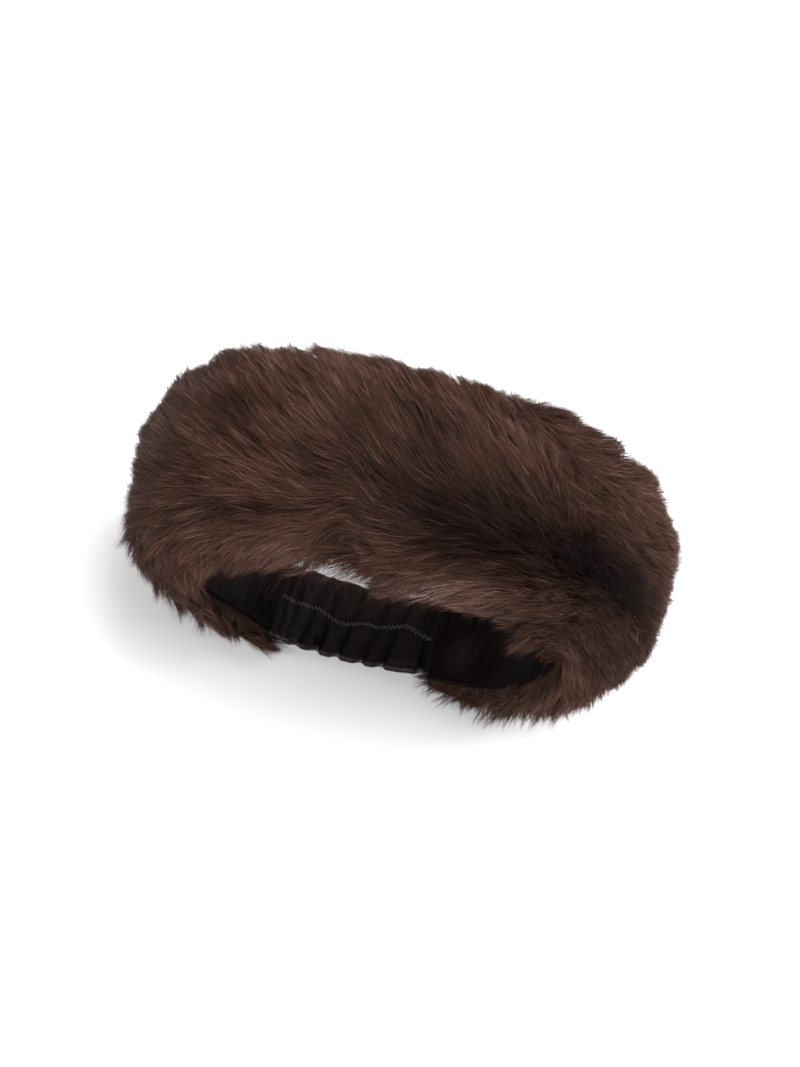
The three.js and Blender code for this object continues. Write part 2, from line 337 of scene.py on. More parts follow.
class Finish:
    """A material's nodes, added one by one."""

    def __init__(self, name):
        self.material = bpy.data.materials.new(name)
        self.material.use_nodes = True
        self.tree = self.material.node_tree
        self.shader = self.tree.nodes["Principled BSDF"]

    def node(self, kind, **settings):
        node = self.tree.nodes.new("ShaderNode" + kind)
        for key, value in settings.items():
            if key in node.inputs:
                node.inputs[key].default_value = value
            else:
                setattr(node, key, value)
        return node

    def link(self, output, to):
        self.tree.links.new(output, to)

    def noise(self, scale, detail, **more):
        """A noise laid over the piece in its own metres."""
        noise = self.node("TexNoise", Scale=scale, Detail=detail, **more)
        self.link(self.node("TexCoord").outputs["Object"], noise.inputs["Vector"])
        return noise.outputs["Fac"]

    def marked(self, name):
        """A value that the piece's own mesh carries."""
        return self.node("Attribute", attribute_name=name).outputs["Fac"]

    def mix(self, first, second, share=0.5):
        mixed = self.node("Mix", data_type="FLOAT")
        mixed.inputs[0].default_value = share
        self.link(first, mixed.inputs[2])
        self.link(second, mixed.inputs[3])
        return mixed.outputs[0]

    def colour(self, output):
        self.link(output, self.shader.inputs["Base Color"])

    def bump(self, height, strength, distance):
        bump = self.node("Bump", Strength=strength, Distance=distance)
        self.link(height, bump.inputs["Height"])
        self.link(bump.outputs["Normal"], self.shader.inputs["Normal"])

    def set(self, **values):
        for key, value in values.items():
            self.shader.inputs[key.replace("_", " ")].default_value = value

    def ramp(self, source, *stops):
        """Colours that a value from 0 to 1 is turned into, each with its place."""
        ramp = self.node("ValToRGB")
        elements = ramp.color_ramp.elements
        for element, (at, colour) in zip(elements, (stops[0], stops[-1])):
            element.position, element.color = at, (*colour, 1)
        for at, colour in stops[1:-1]:
            elements.new(at).color = (*colour, 1)
        self.link(source, ramp.inputs[0])
        return ramp.outputs["Color"]


def hue(red, green, blue):
    """A colour as a dyer's card gives it, 0 to 255, turned into light."""
    levels = np.array((red, green, blue)) / 255
    return tuple(np.where(levels < 0.04045, levels / 12.92, ((levels + 0.055) / 1.055) ** 2.4))


UNDERCOAT = dict(sink=5.5, edge_share=0.45, lumps=1.3, lump_cells=3, round=200, across=60)
UNDERCOAT_SPACING = 1.25  # a power that evens out the section's steps


def lumpy(shape, step, rng):
    """A soft random relief from -1 to 1 with lumps about that many cells wide."""
    rows, cells = (int(n / step) + 3 for n in shape)
    coarse = rng.uniform(-1, 1, (rows, cells))
    x, y = np.linspace(0, rows - 1.001, shape[0]), np.linspace(0, cells - 1.001, shape[1])
    i, j = x.astype(int)[:, None], y.astype(int)[None, :]
    u, v = smooth(x % 1, 0, 1)[:, None], smooth(y % 1, 0, 1)[None, :]
    top = coarse[i, j] * (1 - v) + coarse[i, j + 1] * v
    return top * (1 - u) + (coarse[i + 1, j] * (1 - v) + coarse[i + 1, j + 1] * v) * u


round_it = np.linspace(LEFT_END, RIGHT_END, UNDERCOAT["round"])[:, None]
over_it = eased(np.linspace(-1, 1, UNDERCOAT["across"])[None, :], UNDERCOAT_SPACING)
wool_relief = lock_height(round_it, over_it)
lumps = lumpy(wool_relief.shape, UNDERCOAT["lump_cells"], np.random.default_rng(3))
wool_relief += UNDERCOAT["lumps"] * lumps
wool = fur_section(round_it, over_it, UNDERCOAT["sink"], UNDERCOAT["edge_share"], wool_relief)
flesh = [
    band_point(round_it, side * section(edge, round_it), SKIN_OUT)
    for edge, side in (("skin_far", 1), ("skin_near", -1))
]
undercoat = swept("fur_undercoat", np.concatenate([wool, *flesh], 1))

FUR_DARK, FUR_DYE = hue(26, 18, 16), hue(58, 40, 33)
underwool = Finish("underwool")
grain = underwool.noise(900, 4, Roughness=0.7)
patches = underwool.noise(55, 2)
underwool.colour(underwool.ramp(underwool.mix(grain, patches), (0.3, FUR_DARK), (0.7, FUR_DYE)))
underwool.bump(grain, 0.9, 0.0012)
underwool.set(Roughness=0.95, Specular_IOR_Level=0.15)
undercoat.data.materials.append(underwool.material)
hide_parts("shearling_band")
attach(undercoat, "root")

# ---- The long hair ----
# The guard hair of the same pelt, its outer 20 to 30 mm, brushed over so that it lies along the
# band. Each hair rises out of the underwool, leans over and runs on along the surface, and
# hairs draw together into fine pointed wisps. Past the leather's edges they make the fringe.
HAIR = dict(length=26, width=0.21, widths=(0.65, 1.3), depth=8.5, wisp=2.6, hairs=142000, points=4)
PAST_EDGE = 0.35  # how much of its way on past the fur's edge a hair keeps
WISPS = dict(turn=0.16, own_turn=0.12, lengths=(0.78, 1.15), full_pile=30, shortest=0.6)
WISPS.update(turn_cells=22, tone_cells=14, spread=0.62, gathered=(0.2, 0.7), lift=0.7)
STRAYS = dict(of_hairs=0.18, far=3.4, near=1.2, curl=0.5)
TIPS = dict(lift=1.1, of_hairs=0.06, higher=2.0, depths=(0.6, 1.1), full_pile=36, sunk=0.7)
TONES = dict(places=0.08, wisps=0.05, hairs=0.13, pale_hairs=0.08, paler=0.22)
# How far over the hair lies, from 1, along the band, to 0, standing up. At the parting it
# stands, and round the right side it stands off more than over the front and the left.
LAID = {
    "angle": (228, 190, 150, 60, 35, 5, -60),
    "laid": (0.9, 0.85, 1.0, 1.0, 0.62, 0.42, 0.42),
}
# Degrees that the nap turns towards the near edge, at the left and at the right, and the share
# of it that the very end of the band at the left keeps: there the hair fans out over the casing.
# Each begins at one angle round the band and is full at another.
HANGS = dict(left=58, left_from=(155, 200), right=60, right_from=(-5, -40))
HANGS.update(at_end=0.3, end_from=(205, 226))
STANDS = dict(within=15, share=0.75)  # degrees each side of the parting, and the least laid
# Within some degrees of the parting the hair to its right runs on in the line of the hair to its
# left and then turns, and beside the far edge both stand straight across.
AT_PARTING = dict(within=24, share=0.9, far_nap=92, far_half=(0.3, 0.7))
# Some wisps draw in to a point that stands off the fur.
POINTED = dict(of_wisps=0.16, drawn_in=0.86, lift=(1, 3.2))
# Low down at the near edge, beside the casing, the wisps gather into big pointed locks, each
# lifted at its tip over the next. Their sizes, in millimetres, and how strong they are.
BIG_LOCK = dict(along=16, across=13, gathered=0.85, sunk=4.5, lifted=7, longer=9, strays=0.3)
BIG_LOCKS = {
    "angle": (228, 215, 185, 160, 140, 60, 25, 5, -15, -30, -66),
    "strength": (0.3, 1.0, 0.9, 0.5, 0.15, 0.0, 0.0, 0.15, 0.7, 0.9, 0.85),
}
ZONES = ("fur_left_end", "fur_left", "fur_front", "fur_right", "fur_right_end")

# Places where the hair's colour is painted deeper or paler: mostly painted shade in the partings
# and hollows of the front, and painted light along the fringe, over the far side and at the right,
# with a little of the dye's own unevenness. For each: the angle round the band, the place across
# it, how far it reaches in millimetres along the band and across it, and how much lighter it is.
HAIR_PAINTED_SHADING = (
    (66, -0.34, 42, 20, -0.42),
    (56, -0.6, 34, 13, -0.14),
    (30, -0.38, 26, 20, -0.42),
    (46, -0.32, 22, 14, -0.2),
    (96, -0.14, 38, 22, -0.12),
    (14, -0.75, 24, 22, -0.08),
    (133, -0.5, 22, 6, -0.22),
    (136, 0.0, 9, 8, -0.16),
    (107, -0.02, 8, 7, -0.12),
    (82, -0.02, 12, 8, -0.14),
    (130, -0.9, 34, 15, 0.22),
    (66, -0.93, 44, 13, 0.26),
    (-30, -0.97, 56, 22, 0.14),
    (205, -0.97, 45, 22, 0.16),
    (114, 0.35, 78, 34, 0.15),
    (32, 0.45, 22, 20, -0.08),
    (12, 0.15, 26, 26, 0.12),
)

rng = np.random.default_rng(17)
steps_round, steps_over = (np.linalg.norm(np.gradient(fur_form, axis=k), axis=2) for k in (0, 1))
EDGE_CELLS = 7  # over which the surface's lie at its edges is taken, to carry hair on past them


def cell(field, place):
    """The field's value between grid places, the nearest edge's outside the grid."""
    i, j = (np.clip(place[..., k], 0, field.shape[k] - 1.001) for k in (0, 1))
    i0, j0 = i.astype(int), j.astype(int)
    u, v = i - i0, j - j0
    if field.ndim == 3:
        u, v = u[..., None], v[..., None]
    low = field[i0, j0] * (1 - v) + field[i0, j0 + 1] * v
    return low * (1 - u) + (field[i0 + 1, j0] * (1 - v) + field[i0 + 1, j0 + 1] * v) * u


def row(values, at):
    """Vectors in a row, between its places."""
    at = np.clip(at, 0, len(values) - 1.001)
    first = at.astype(int)
    share = (at - first)[..., None]
    return values[first] * (1 - share) + values[first + 1] * share


over_form = fur_form.swapaxes(0, 1)
left_lie, near_lie = ((form[0] - form[EDGE_CELLS]) / EDGE_CELLS for form in (fur_form, over_form))
right_lie, far_lie = ((form[-1] - form[-1 - EDGE_CELLS]) / EDGE_CELLS for form in (fur_form, over_form))


LOCK_PLACES = dict(wander=0.6, reach=0.75)  # off an even pattern, and where closeness ends


def nearest_lock(u, v):
    """In a pattern of scattered places about 1 apart: the way to the nearest one, how near it
    is, from 0 to 1, and a number of its own."""
    nearest = [np.full(u.shape, start) for start in (9.0, 0.0, 0.0, 0.0)]
    for beside_u in (-1, 0, 1):
        for beside_v in (-1, 0, 1):
            a, b = np.round(u) + beside_u, np.round(v) + beside_v
            which = 37 * a + 101 * b
            du = a + LOCK_PLACES["wander"] * (scatter(which) - 0.5) - u
            dv = b + LOCK_PLACES["wander"] * (scatter(which + 7) - 0.5) - v
            found = (np.hypot(du, dv), du, dv, scatter(which + 13))
            nearer = found[0] < nearest[0]
            nearest = [np.where(nearer, *pair) for pair in zip(found, nearest)]
    distance, to_u, to_v, own = nearest
    return to_u, to_v, np.clip(1 - distance / LOCK_PLACES["reach"], 0, 1), own


def lock_strength(angle, across):
    """How far the hair gathers into the big locks at each place."""
    near_edge = smooth(-across, 0.1, 0.6)
    return column(BIG_LOCKS, "angle", "strength", np.clip(angle, RIGHT_END, LEFT_END)) * near_edge


def fur_place(place):
    """The point of the fur's form at a grid place, carried straight on past its edges."""
    i, j = place[..., 0], place[..., 1]
    point = cell(fur_form, place)
    point = point + row(near_lie, i) * PAST_EDGE * np.maximum(-j, 0)[..., None]
    point = point + row(far_lie, i) * PAST_EDGE * np.maximum(j - GRID_ACROSS + 1, 0)[..., None]
    point = point + row(left_lie, j) * np.maximum(-i, 0)[..., None]
    return point + row(right_lie, j) * np.maximum(i - GRID_ROUND + 1, 0)[..., None]


def wisp_nap(angle, across, leftwards):
    """The nap of a wisp: low down at the near edge it turns to hang off the edge."""
    across = np.clip(across, -1, 1)
    near_edge = smooth(-across, 0, 0.7)
    at_end = 1 - (1 - HANGS["at_end"]) * smooth(angle, *HANGS["end_from"])
    hangs = HANGS["left"] * smooth(angle, *HANGS["left_from"]) * at_end
    left = column(NAP, "across", "left", across) + hangs * near_edge
    hangs = HANGS["right"] * near_edge * smooth(angle, *HANGS["right_from"])
    right = column(NAP, "across", "right", across) - hangs
    past = np.abs(angle - column(NAP, "across", "parting", across))
    beside = bell(past, 0, AT_PARTING["within"]) * AT_PARTING["share"]
    far_half = smooth(across, *AT_PARTING["far_half"])
    right = right + (left - 180 - right) * beside * (1 - far_half)
    nap = np.where(leftwards, left, right)
    return np.radians(nap + (AT_PARTING["far_nap"] - nap) * beside * far_half)


def wisp_paths(place, leftwards, turn, length):
    """Each wisp's middle line over the fur, as grid places from root to tip."""
    path = [place]
    for _ in range(HAIR["points"] - 1):
        angle = angle_at(np.clip(place[:, 0], 0, GRID_ROUND - 1))
        nap = wisp_nap(angle, cell(grid_across, place), leftwards) + turn
        step = length / (HAIR["points"] - 1)
        place = place.copy()
        place[:, 0] += step * np.cos(nap) / cell(steps_round, place)
        place[:, 1] += step * np.sin(nap) / cell(steps_over, place)
        path.append(place)
    return np.stack(path, 1)


# Wisps start at scattered places. Where few then lie over the fur, as at the parting, the roots
# would show bare, so they are sown again, closer together there.
SOWINGS, BLOCK = 4, 10  # times, and the grid's cells along each side of a counted block
BARE_LIMITS, WANTED_LIMITS = (0.6, 2.5), (0.3, 4)  # how far one sowing, and all, change a place
cell_area = steps_round * steps_over
wisps = int(cell_area.sum() / HAIR["wisp"] ** 2)
lock_turn = lumpy((GRID_ROUND, GRID_ACROSS), WISPS["turn_cells"], rng)
lock_tone = lumpy((GRID_ROUND, GRID_ACROSS), WISPS["tone_cells"], rng)
wanted = np.ones((GRID_ROUND, GRID_ACROSS))
blocks = (GRID_ROUND // BLOCK, GRID_ACROSS // BLOCK)
room = cell_area.reshape(blocks[0], BLOCK, blocks[1], BLOCK).sum((1, 3))
for sowing in range(SOWINGS):
    odds = (cell_area * wanted).ravel()
    start = rng.choice(odds.size, wisps, p=odds / odds.sum())
    wisp_place = [at + rng.uniform(-0.5, 0.5, wisps) for at in (start // GRID_ACROSS, start % GRID_ACROSS)]
    wisp_place = np.stack(wisp_place, 1)
    wisp_turn = WISPS["turn"] * cell(lock_turn, wisp_place) + rng.normal(0, WISPS["own_turn"], wisps)
    # Near the ends of the band the pile is short.
    wisp_angle = angle_at(wisp_place[:, 0])
    wisp_pile = section("pile", wisp_angle)
    wisp_length = HAIR["length"] * rng.uniform(*WISPS["lengths"], wisps)
    wisp_length = wisp_length * np.clip(wisp_pile / WISPS["full_pile"], WISPS["shortest"], 1)
    wisp_across = np.clip(cell(grid_across, wisp_place), -1, 1)
    past = wisp_angle - column(NAP, "across", "parting", wisp_across)
    leftwards = rng.random(wisps) < smooth(past, -PARTING_MIX, PARTING_MIX)
    stands = STANDS["share"] + (1 - STANDS["share"]) * smooth(np.abs(past), 0, STANDS["within"])
    wisp_length = wisp_length * column(LAID, "angle", "laid", wisp_angle) * stands
    path = wisp_paths(wisp_place, leftwards, wisp_turn, wisp_length)
    # Wisps that would hang over the thin place are shorter.
    tip = path[:, -1]
    thin = thinned(angle_at(tip[:, 0]), 4)
    tip_across = np.where(tip[:, 1] < 0, -1, cell(grid_across, tip))
    wisp_length = wisp_length * (1 - THIN_PLACE["shorter"] * thin * smooth(-tip_across, 0.55, 0.8))
    path = wisp_paths(wisp_place, leftwards, wisp_turn, wisp_length)
    whole_grid = ((0, GRID_ROUND - 1), (0, GRID_ACROSS - 1))
    weights = np.repeat(wisp_length**0.5, HAIR["points"] - 1)
    lying = np.histogram2d(*path[:, 1:].reshape(-1, 2).T, blocks, whole_grid, weights=weights)[0]
    bare = room / np.maximum(lying, 1)
    bare = np.clip(bare / np.median(bare), *BARE_LIMITS)
    wanted = np.clip(wanted * np.kron(bare, np.ones((BLOCK, BLOCK))), *WANTED_LIMITS)

hairs = HAIR["hairs"]
of = rng.integers(0, wisps, hairs)  # the wisp that each hair grows in
share = np.linspace(0, 1, HAIR["points"])[None, :]  # of the way from a hair's root to its tip
along_it = share[..., None]
hair_place = path[of]
steps = np.stack([cell(steps_round, hair_place), cell(steps_over, hair_place)], -1)
tip = hair_place[:, -1:]
strength = lock_strength(angle_at(tip[..., 0]), cell(grid_across, tip))
aside = rng.normal(0, WISPS["spread"] * HAIR["wisp"], (hairs, 2))
pointed = rng.random(wisps) < POINTED["of_wisps"]
gathered = np.where(pointed[of], POINTED["drawn_in"], rng.uniform(*WISPS["gathered"], hairs))
drawn_in = 1 - gathered[:, None] * share**1.3
stray = rng.normal(0, 1, (hairs, 2))
stray = stray * np.where(rng.random((hairs, 1)) < STRAYS["of_hairs"], STRAYS["far"], STRAYS["near"])
stray = stray * (1 + (BIG_LOCK["strays"] - 1) * strength)
curl = rng.uniform(0, 2 * np.pi, (hairs, 1)) + 3 * share
off = aside[:, None] * drawn_in[..., None] + stray[:, None] * along_it**1.6
off = off + STRAYS["curl"] * np.stack([np.cos(curl), np.sin(curl)], -1) * along_it
hair_place = hair_place + off / steps
lock_size = np.array((BIG_LOCK["along"], BIG_LOCK["across"]))
lock_place = hair_place[:, -1:] * steps[:, -1:] / lock_size
to_u, to_v, close, own = nearest_lock(lock_place[..., 0], lock_place[..., 1])
closing = (BIG_LOCK["gathered"] * strength * share**1.5)[..., None]
hair_place = hair_place + closing * np.stack([to_u, to_v], -1) * lock_size / steps

wisp_lift = rng.normal(0, WISPS["lift"], wisps) + pointed * rng.uniform(*POINTED["lift"], wisps)
tip_lift = wisp_lift[of] + np.abs(rng.normal(0, TIPS["lift"], hairs))
tip_lift = tip_lift + np.where(rng.random(hairs) < TIPS["of_hairs"], TIPS["higher"], 0)
shallow = np.clip(wisp_pile[of] / TIPS["full_pile"], 0.4, 1)
depth = (HAIR["depth"] * rng.uniform(*TIPS["depths"], hairs) * shallow)[:, None]
rise = (tip_lift[:, None] - TIPS["sunk"]) * share**1.8 - depth * (1 - share) ** 1.9
lifted = BIG_LOCK["lifted"] * (0.5 + 0.5 * own) * smooth(close, 0, 0.55)
rise += strength * (lifted * share**2 - BIG_LOCK["sunk"])
outward = unit(cell(fur_normal, hair_place))
middle = fur_place(hair_place) + outward * rise[..., None]
onwards = unit(middle[:, -1:] - middle[:, -2:-1])
longer = strength * BIG_LOCK["longer"] * (close - 0.3) * (0.4 + 0.6 * own) * share**2
middle += onwards * longer[..., None]
FLOOR_CLEAR = (0.15, 0.6)  # the least height over the floor, and how much more some hairs have


def above_floor(points):
    low, more = FLOOR_CLEAR
    points[..., 2] = np.maximum(points[..., 2], low + more * rng.random((len(points), 1)))


above_floor(middle)


def hair_painted_shading_at(angle, across):
    """How much lighter the hair's colour is painted at places on the fur: painted light and painted
    shade, with a little of the dye's own unevenness.
    """
    total = np.zeros_like(angle)
    for at_angle, at_across, long, wide, lighter in HAIR_PAINTED_SHADING:
        along = (angle - at_angle) * MM_PER_DEGREE / long
        over = (across - at_across) * MM_PER_ACROSS / wide
        total += lighter * np.exp(-(along**2) - over**2)
    return total


# The fringe: hair from along the leather's two edges, fanned out from flat to nearly upright.
FRINGE = dict(hairs=29000, spacing=1.1, length=27, inset=6, wisp=1.5, first=0.4, widest=68)
FRINGE.update(shortest=9, full_pile=26, tilt=0.6, bends=0.45, drops=0.12, stray=1.3)
FRINGE.update(tuft_lengths=(0.85, 1.1), hair_lengths=(0.7, 1.08), own_tilt=0.15)
FRINGE.update(shorter_in_locks=0.3, tidier_in_locks=0.6, least_pile=0.75, across=0.97)
UPRIGHT_TUFTS = dict(of_tufts=0.25, tilt=0.45)  # some tilt less along the band than the others
LOW_DOWN = dict(top=95, begins=85, full=110)  # degrees: the front's middle, and how far from it
FRINGE_TILT = {  # of the near fringe along the band, towards the right end
    "angle": (228, 190, 160, 125, 90, 60, 35, 20, 0, -25, -60),
    "tilt": (-1.1, -0.8, -0.8, -1.1, -1.4, -1.3, -0.9, 0.2, 0.5, 0.15, -0.15),
}
FRINGE_LOCK = dict(along=11, fan=0.42, gathered=0.8, longer=0.35, least=0.15)
# Over the hollow's right end the near fringe leans in, and a few tufts do further down its edge.
LEANS_IN = (
    dict(angle=17, half_width=13, degrees=50, of_tufts=1),
    dict(angle=-22, half_width=26, degrees=40, of_tufts=0.3),
)
# Two long tufts hang over the hollow: how far round they are rooted and where their tips come to.
LONG_TUFTS = (
    dict(angle=25, half_width=9, of_tufts=0.7, gathered=0.9, tip=(54, -62, 112)),
    dict(angle=6, half_width=5, of_tufts=0.5, gathered=0.85, tip=(74, -48, 93)),
)
# Fine loose hairs that hang over the casing from the front's edge. Their tone is lowered, painted
# shade for the shadow under that edge.
OVERHANGS = dict(of_hairs=0.5, between=(60, 145), longer=1.35, wild=0.55, painted_shade=0.45, finer=0.6)


def fringe_tuft(side, angle, fan, inset, lean, more_lean):
    """Tufts' roots, the way they leave them, how they bend and how long they are, and the
    leather's outward direction and its edge's direction there."""
    inside = np.clip(angle, RIGHT_END, LEFT_END)
    if side < 0:
        name = "near"
        tilt = column(FRINGE_TILT, "angle", "tilt", inside)
        short = 1 - THIN_PLACE["fringe_shorter"] * thinned(angle)
        short = short * (1 - FRINGE["shorter_in_locks"] * lock_strength(angle, -1))
    else:
        name = "far"
        nap = nap_at(inside, np.ones(angle.shape))
        tilt, short = np.cos(nap) / np.maximum(np.abs(np.sin(nap)), 0.6), 1
    tilt = (tilt * lean + more_lean)[:, None]
    edge = section("skin_" + name, inside)
    over = section("fur_" + name, inside) - edge + inset
    over = over + TUFTS["reach"] * (tuft_height(inside, side) - TUFTS["below"])
    length = over / np.maximum(np.cos(fan), 0.4) * np.sqrt(1 + 0.4 * tilt[:, 0] ** 2)
    length = np.clip(length, FRINGE["shortest"], FRINGE["length"])
    length = length * short * np.clip(section("pile", inside) / FRINGE["full_pile"], FRINGE["least_pile"], 1)
    root = band_point(angle, side * (edge - inset), SKIN_OUT + 1)
    normal = unit(band_point(angle, 0, 30) - band_point(angle, 0, 0))
    axis = np.zeros_like(normal)
    axis[:, 1] = side
    along = np.cross(normal, (0, 1.0, 0))  # towards the right end
    along *= np.sign(((band_point(angle - 1, 0, 0) - band_point(angle, 0, 0)) * along).sum(1))[:, None]
    fan = fan[:, None]
    way = unit(axis * np.cos(fan) + normal * np.sin(fan) + FRINGE["tilt"] * along * tilt)
    bend = FRINGE["bends"] * along * tilt + FRINGE["drops"] * axis - 0.1 * normal
    return root, way, bend, length, normal, axis


fringe_points, fringe_outward, fringe_places = [], [], []
for side in (-1, 1):
    tufts = int(MM_PER_DEGREE * (LEFT_END - RIGHT_END) / FRINGE["spacing"])
    angle = rng.uniform(RIGHT_END - 1, LEFT_END + 1, tufts)
    inset = FRINGE["inset"] * rng.random(tufts) ** 1.3
    low_down = smooth(np.abs(angle - LOW_DOWN["top"]), LOW_DOWN["begins"], LOW_DOWN["full"]) * (side < 0)
    lean_in = np.zeros(tufts)
    for stretch in LEANS_IN if side < 0 else ():
        some = scatter(np.arange(tufts)) < stretch["of_tufts"]
        lean_in -= some * stretch["degrees"] * bell(angle, stretch["angle"], stretch["half_width"])
    fan = rng.random(tufts) ** (1 + low_down)
    fan = np.radians(lean_in + (FRINGE["widest"] - lean_in) * fan)
    lean = np.where(rng.random(tufts) < UPRIGHT_TUFTS["of_tufts"], UPRIGHT_TUFTS["tilt"], 1)
    more_lean = rng.normal(0, FRINGE["own_tilt"], tufts)
    root, way, bend, length, normal, axis = fringe_tuft(side, angle, fan, inset, lean, more_lean)
    length = length * rng.uniform(*FRINGE["tuft_lengths"], tufts)
    # The tufts of one lock end together.
    lock_u = angle * MM_PER_DEGREE / FRINGE_LOCK["along"] + 31 * side
    to_u, to_v, close, own = nearest_lock(lock_u, fan / FRINGE_LOCK["fan"])
    lock_angle = angle + to_u * FRINGE_LOCK["along"] / MM_PER_DEGREE
    lock_fan = fan + to_v * FRINGE_LOCK["fan"]
    lock_inset = 0.4 * FRINGE["inset"]
    at, way_of, bend_of, long_of = fringe_tuft(side, lock_angle, lock_fan, lock_inset, 1, 0)[:4]
    long_of = long_of * (1 + FRINGE_LOCK["longer"] * own)
    lock_tip = at + long_of[:, None] * (way_of + 0.5 * bend_of)
    drawn_in = FRINGE_LOCK["gathered"] * np.maximum(lock_strength(angle, side), FRINGE_LOCK["least"])
    for tuft in LONG_TUFTS:
        in_tuft = bell(angle, tuft["angle"], tuft["half_width"], 4)
        in_tuft = in_tuft * (side < 0) * (rng.random(tufts) < tuft["of_tufts"])
        lock_tip += in_tuft[:, None] * (tuft["tip"] - lock_tip)
        drawn_in += in_tuft * (tuft["gathered"] - drawn_in)
    to_tip = lock_tip - root - length[:, None] * (way + 0.5 * bend)
    to_tip *= drawn_in[:, None]
    count = FRINGE["hairs"] // 2
    of_tuft = rng.integers(0, tufts, count)
    tuft_angle = angle[of_tuft]
    low, high = OVERHANGS["between"]
    hanging = (tuft_angle > low) & (tuft_angle < high) & (rng.random(count) < OVERHANGS["of_hairs"])
    hanging = (hanging & (side < 0))[:, None, None]
    root, way, bend, to_tip, outwards = (v[of_tuft][:, None] for v in (root, way, bend, to_tip, normal))
    way = unit(way + hanging * rng.normal(0, OVERHANGS["wild"], (count, 1, 3)))
    tidier = 1 - FRINGE["tidier_in_locks"] * lock_strength(tuft_angle, side)[:, None, None]
    spread_of = rng.normal(0, FRINGE["wisp"], (count, 1, 3)) * (1 - 0.7 * along_it)
    lone = rng.normal(0, FRINGE["stray"], (count, 1, 3)) * tidier * along_it**1.5
    inwards = np.minimum(((spread_of + lone) * outwards).sum(2, keepdims=True), 0)
    lone = lone - inwards * outwards  # so that fewer go through the lining
    own = (length[of_tuft] * rng.uniform(*FRINGE["hair_lengths"], count))[:, None, None]
    own = own * np.where(hanging, OVERHANGS["longer"], 1)
    path = root + own * (way * along_it + 0.5 * bend * along_it**2) + to_tip * along_it**1.5
    fringe_points.append(path + spread_of + lone)
    fringe_outward.append(np.broadcast_to((normal + 0.6 * axis)[of_tuft][:, None], path.shape))
    hair_across = np.full(count, FRINGE["across"] * side)
    fringe_places.append(np.stack([tuft_angle, hair_across, hanging[:, 0, 0]], 1))
fringe_points, fringe_outward, fringe_places = (
    np.concatenate(v) for v in (fringe_points, fringe_outward, fringe_places)
)
above_floor(fringe_points)

DROOPS = dict(past=-66, within=8.5)
halfway = hair_place[:, HAIR["points"] // 2]
mid_angle = angle_at(halfway[:, 0])
# A hair's tone: painted light and shade by its place on the fur, and the dye's own unevenness.
tone = 0.5 + hair_painted_shading_at(mid_angle, cell(grid_across, halfway))
tone += TONES["places"] * cell(lock_tone, wisp_place)[of] + rng.normal(0, TONES["wisps"], wisps)[of]
loose = fringe_places[:, 2]
# The fringe's tone likewise, lowered further in the loose hairs over the casing: painted shade.
fringe_tone = 0.5 + hair_painted_shading_at(fringe_places[:, 0], fringe_places[:, 1]) - OVERHANGS["painted_shade"] * loose
middle = np.concatenate([middle, fringe_points])
# The longest hairs hang down over the near edge sooner than stand out far past it.
beyond = np.maximum(DROOPS["past"] - middle[..., 1], 0)
middle[..., 1] += beyond - DROOPS["within"] * (1 - np.exp(-beyond / DROOPS["within"]))
outward = np.concatenate([outward, unit(fringe_outward)])
tone = np.concatenate([tone, fringe_tone])
hairs = len(tone)
tone = tone + rng.normal(0, TONES["hairs"], hairs)
tone = tone + np.where(rng.random(hairs) < TONES["pale_hairs"], TONES["paler"], 0)
hair_width = HAIR["width"] * rng.uniform(*HAIR["widths"], hairs)
hair_width[len(mid_angle) :] *= 1 - (1 - OVERHANGS["finer"]) * loose
# The fringe's roots stand in the light at the leather's edge, so it isn't so dark near them.
first = np.where(np.arange(hairs) < len(mid_angle), 0, FRINGE["first"])
# Sorted round the band, to be made in as many pieces as the zones.
order = np.argsort(-np.concatenate([mid_angle, fringe_places[:, 0]]), kind="stable")
middle, outward, hair_width, tone, first = (v[order] for v in (middle, outward, hair_width, tone, first))

HAIR_TAPER = (0.8, 1.0, 0.8, 0)  # its width at each point, from root to tip
HAIR_ROLL = 0.55
CHART_STRIP = 0.006  # how wide a hair lies on the chart of dyes


def hair_piece(name, middle, outward, width, tone, first, rng):
    """One piece of many hairs, each a ribbon that tapers to a point. On its chart a hair's tone, its
    dye with painted light and shade, runs from left to right, from dark to pale, and its length from
    the bottom to the top, which brings the painted shade at the root."""
    count, points = middle.shape[:2]
    along = unit(np.gradient(middle, axis=1))
    flat = unit(np.cross(along, outward))
    roll = rng.normal(0, HAIR_ROLL, (count, 1, 1))
    flat = flat * np.cos(roll) + np.cross(along, flat) * np.sin(roll)
    half = flat * width[:, None, None] * (np.array(HAIR_TAPER)[None, :, None] / 2)
    sides = np.stack([middle - half, middle + half], 2)
    vertices = np.concatenate([sides[:, :-1].reshape(count, -1, 3), middle[:, -1:]], 1)
    per_hair = vertices.shape[1]
    base = (np.arange(count) * per_hair)[:, None]
    last = points - 1
    # A four-cornered face for each step but the last, and a three-cornered one at the tip.
    corners, across, up_it = [], [], []
    for k in range(last - 1):
        corners += [2 * k, 2 * k + 2, 2 * k + 3, 2 * k + 1]
        across += [-1, -1, 1, 1]
        up_it += [k / last, (k + 1) / last, (k + 1) / last, k / last]
    corners += [per_hair - 3, per_hair - 1, per_hair - 2]
    across += [-1, 0, 1]
    up_it += [(last - 1) / last, 1, (last - 1) / last]
    sizes = np.tile([4] * (last - 1) + [3], count)
    piece = mesh_object(name, vertices.reshape(-1, 3), base + np.array(corners), sizes)
    u = np.clip(tone, 0.02, 0.98)[:, None] + CHART_STRIP * np.array(across)
    v = 0.01 + 0.98 * (first[:, None] + (1 - first[:, None]) * np.array(up_it))
    chart = piece.data.uv_layers.new(name="OFBake")
    chart.data.foreach_set("uv", np.stack([u, v], 2).astype(np.float32).ravel())
    return piece


